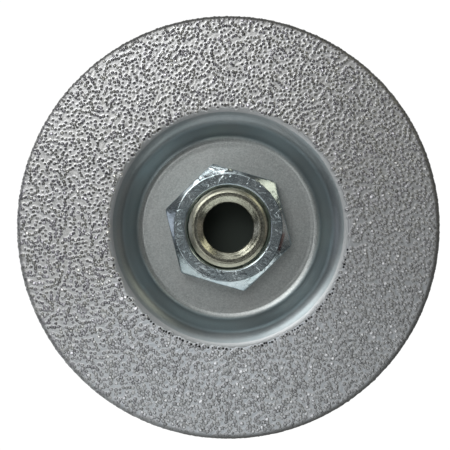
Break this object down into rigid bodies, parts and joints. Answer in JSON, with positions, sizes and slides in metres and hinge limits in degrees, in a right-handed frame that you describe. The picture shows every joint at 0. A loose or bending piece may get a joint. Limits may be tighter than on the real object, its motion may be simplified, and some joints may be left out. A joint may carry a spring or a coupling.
{
  "type": "diamond grinding wheel",
  "caption": "Round depressed-centre grinding wheel with a brazed diamond grit face, clamped by a hexagonal lock nut to a flanged hub with a threaded spindle hole.",
  "frame": {"origin": "centre of the hub's rear seating face, which is also the lowest point of the wheel and the centre of its bounding box's base", "axes": "+Z along the spin axis, from the rear seating face towards the abrasive face; X and Y lie in the plane of the disc, and the wheel is round about Z apart from the nut's hexagon, which has a corner 44.2 degrees from +X towards +Y"},
  "size_m": [0.115, 0.115, 0.0157],
  "materials": {
    "core_silver_paint": "satin metallic silver paint over pressed steel",
    "brazed_diamond": "rough silver nickel braze with protruding diamond grit",
    "hub_nickel_plate": "turned steel with bright, slightly warm nickel plating",
    "nut_zinc_plate": "bright blue-white zinc plating with small handling dents"
  },
  "bodies": {
    "hub": {"flanged_hub": "hub_nickel_plate"},
    "wheel": {"wheel_core": "core_silver_paint", "diamond_layer": "brazed_diamond"},
    "nut": {"lock_nut": "nut_zinc_plate"}
  },
  "joints": [
    {"name": "wheel_lift", "type": "slide", "parent": "hub", "child": "wheel", "axis": [0, 0, 1], "range_m": [0, 0.006]},
    {"name": "nut_turn", "type": "hinge", "parent": "wheel", "child": "nut", "pos_m": [0, 0, 0.0072], "axis": [0, 0, 1], "range_deg": [0, 1440]}
  ],
  "couplings": [
    {"joint": "nut_turn", "follows": "wheel_lift", "rad_per_m": 4188.8}
  ]
}
